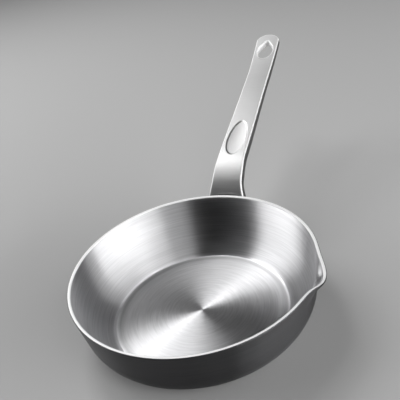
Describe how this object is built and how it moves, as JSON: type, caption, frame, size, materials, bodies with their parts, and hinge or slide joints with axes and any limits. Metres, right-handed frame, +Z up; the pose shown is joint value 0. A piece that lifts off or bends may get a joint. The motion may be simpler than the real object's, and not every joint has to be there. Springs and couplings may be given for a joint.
{
  "type": "egg pan",
  "caption": "Small stainless frying pan with rounded sides, a pressed pouring spout and a long welded handle with a thumb rest and a teardrop hanging hole.",
  "frame": {"origin": "middle of the base's underside, on the surface that the pan stands on", "axes": "+Z up through the pan, +Y along the handle from the pan's middle towards the tip, +X towards the pouring spout"},
  "size_m": [0.1642, 0.3392, 0.0993],
  "materials": {
    "inner_steel": "brushed in circles",
    "core_aluminium": "cut edge",
    "outer_steel": "satin, brushed in circles",
    "handle_steel": "satin with bright edges",
    "weld_steel": "raw"
  },
  "bodies": {
    "root": {"inner_ply": "inner_steel", "core_ply": "core_aluminium", "outer_ply": "outer_steel", "handle": "handle_steel", "handle_weld_1": "weld_steel", "handle_weld_2": "weld_steel", "handle_weld_3": "weld_steel", "handle_weld_4": "weld_steel"}
  },
  "joints": []
}
